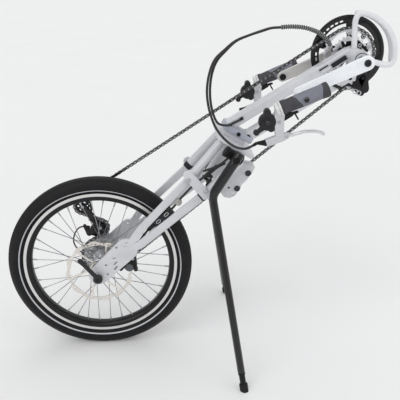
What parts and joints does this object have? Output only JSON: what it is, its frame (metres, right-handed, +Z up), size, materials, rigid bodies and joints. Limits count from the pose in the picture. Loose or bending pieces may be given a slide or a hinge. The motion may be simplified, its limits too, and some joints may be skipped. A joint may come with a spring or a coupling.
{
  "type": "handcycle attachment",
  "caption": "Clip-on handcycle: front wheel in a split fork, twin boom rails with paired hand cranks, chain drive, and two stand legs that hold it upright.",
  "frame": {"origin": "bottom centre of the bounding box, on the floor that the wheel and the stand feet rest on", "axes": "+X from the wheel towards the cranks, +Y towards the chain side, +Z up"},
  "size_m": [1.0138, 0.5147, 0.9134],
  "materials": {
    "tyre": "matte",
    "rim_black": "satin",
    "spoke_steel": "polished",
    "hub_alloy": "polished",
    "rotor_steel": "ground",
    "cog_steel": "satin",
    "frame_paint": "satin silver-white",
    "cover_paint": "satin grey-blue",
    "link_alloy": "brushed",
    "black_anodised": "satin",
    "ring_alloy": "machined",
    "chain_steel": "oiled",
    "axle_steel": "satin",
    "grip_plastic": "fine texture",
    "control_alloy": "satin",
    "control_plastic": "satin",
    "dock_alloy": "blasted",
    "stand_paint": "gloss",
    "foot_rubber": "matte",
    "cable_jacket": "satin"
  },
  "bodies": {
    "frame": {"fork_upper_tube_left": "frame_paint", "fork_lower_tube_left": "frame_paint", "fork_blade_left": "frame_paint", "fork_upper_tube_right": "frame_paint", "fork_lower_tube_right": "frame_paint", "fork_blade_right": "frame_paint", "link_bridge": "link_alloy", "crown_plate": "frame_paint", "crown_cover": "cover_paint", "boom_upper_rail": "frame_paint", "boom_lower_rail": "frame_paint", "bracket_shell": "frame_paint", "guard_hoop": "frame_paint", "chain": "chain_steel", "derailleur_cage": "black_anodised", "rear_derailleur": "black_anodised", "front_derailleur": "black_anodised", "hub_axle": "axle_steel", "brake_caliper": "black_anodised", "stand_barrel_left": "black_anodised", "stand_barrel_right": "black_anodised", "control_cables": "cable_jacket", "cable_wrap": "cable_jacket", "derailleur_cable": "cable_jacket", "brake_hose": "cable_jacket"},
    "wheel": {"tyre": "tyre", "rim": "rim_black", "spokes_left": "spoke_steel", "spokes_right": "spoke_steel", "hub_shell": "hub_alloy", "brake_rotor": "rotor_steel"},
    "cassette": {"cassette": "cog_steel"},
    "crank": {"crank_axle": "black_anodised", "crank_arm_left": "frame_paint", "crank_arm_right": "frame_paint", "handle_axle_left": "axle_steel", "handle_axle_right": "axle_steel", "chainring_spider": "black_anodised", "chainring": "ring_alloy", "ring_guard": "black_anodised"},
    "handle_left": {"grip_left": "grip_plastic", "control_bracket_left": "control_alloy", "shifter_left": "control_plastic"},
    "handle_right": {"grip_right": "grip_plastic", "control_bracket_right": "control_alloy", "shifter_right": "control_plastic"},
    "brake_lever_left": {"brake_lever_left": "control_alloy"},
    "brake_lever_right": {"brake_lever_right": "control_alloy"},
    "shift_lever_left": {"shift_lever_left": "control_plastic"},
    "shift_lever_right": {"shift_lever_right": "control_plastic"},
    "guide_pulley": {"guide_pulley": "control_plastic"},
    "tension_pulley": {"tension_pulley": "control_plastic"},
    "release_lever": {"release_lever": "black_anodised"},
    "dock": {"steering_head": "dock_alloy", "dock_plate_left": "dock_alloy", "dock_plate_right": "dock_alloy"},
    "stand_left": {"stand_leg_left": "stand_paint", "stand_foot_left": "foot_rubber"},
    "stand_right": {"stand_leg_right": "stand_paint", "stand_foot_right": "foot_rubber"}
  },
  "joints": [
    {"name": "wheel_spin", "type": "hinge", "parent": "frame", "child": "wheel", "pos_m": [-0.25695, 0, 0.25], "axis": [0, 1, 0], "continuous": true},
    {"name": "crank_spin", "type": "hinge", "parent": "frame", "child": "crank", "pos_m": [0.39705, 0, 0.804], "axis": [0, 1, 0], "continuous": true},
    {"name": "cassette_spin", "type": "hinge", "parent": "frame", "child": "cassette", "pos_m": [-0.25695, 0, 0.25], "axis": [0, 1, 0], "continuous": true},
    {"name": "guide_pulley_spin", "type": "hinge", "parent": "frame", "child": "guide_pulley", "pos_m": [-0.25795, 0, 0.338], "axis": [0, 1, 0], "continuous": true},
    {"name": "tension_pulley_spin", "type": "hinge", "parent": "frame", "child": "tension_pulley", "pos_m": [-0.30295, 0, 0.402], "axis": [0, 1, 0], "continuous": true},
    {"name": "handle_left_turn", "type": "hinge", "parent": "crank", "child": "handle_left", "pos_m": [0.24183, -0.17, 0.73715], "axis": [0, 1, 0], "continuous": true},
    {"name": "handle_right_turn", "type": "hinge", "parent": "crank", "child": "handle_right", "pos_m": [0.24183, 0.17, 0.73715], "axis": [0, 1, 0], "continuous": true},
    {"name": "release_lever_turn", "type": "hinge", "parent": "frame", "child": "release_lever", "pos_m": [-0.25695, 0, 0.25], "axis": [0, 1, 0], "range_deg": [0, 150]},
    {"name": "steering", "type": "hinge", "parent": "frame", "child": "dock", "pos_m": [0.09805, 0, 0.597], "axis": [0.5214, 0, 0.8533], "range_deg": [-12, 12]},
    {"name": "stand_left_fold", "type": "hinge", "parent": "frame", "child": "stand_left", "pos_m": [0.09905, -0.098, 0.5725], "axis": [0, 1, 0], "range_deg": [0, 75]},
    {"name": "stand_right_fold", "type": "hinge", "parent": "frame", "child": "stand_right", "pos_m": [0.09905, 0.098, 0.5725], "axis": [0, 1, 0], "range_deg": [0, 75]},
    {"name": "brake_lever_left_pull", "type": "hinge", "parent": "handle_left", "child": "brake_lever_left", "pos_m": [0.20344, -0.17, 0.65182], "axis": [0, -1, 0], "range_deg": [0, 20], "stiffness_Nm_per_rad": 0.3, "springref_deg": -11.46},
    {"name": "shift_lever_left_push", "type": "hinge", "parent": "handle_left", "child": "shift_lever_left", "pos_m": [0.15848, -0.17, 0.68514], "axis": [0, -1, 0], "range_deg": [0, 25], "stiffness_Nm_per_rad": 0.1, "springref_deg": -11.46},
    {"name": "brake_lever_right_pull", "type": "hinge", "parent": "handle_right", "child": "brake_lever_right", "pos_m": [0.20344, 0.17, 0.65182], "axis": [0, -1, 0], "range_deg": [0, 20], "stiffness_Nm_per_rad": 0.3, "springref_deg": -11.46},
    {"name": "shift_lever_right_push", "type": "hinge", "parent": "handle_right", "child": "shift_lever_right", "pos_m": [0.15848, 0.17, 0.68514], "axis": [0, -1, 0], "range_deg": [0, 25], "stiffness_Nm_per_rad": 0.1, "springref_deg": -11.46}
  ],
  "couplings": [
    {"joint": "cassette_spin", "follows": "crank_spin", "ratio": 1.1429},
    {"joint": "guide_pulley_spin", "follows": "crank_spin", "ratio": -2.9091},
    {"joint": "tension_pulley_spin", "follows": "crank_spin", "ratio": 2.9091},
    {"joint": "handle_left_turn", "follows": "crank_spin", "ratio": -1},
    {"joint": "handle_right_turn", "follows": "crank_spin", "ratio": -1}
  ]
}
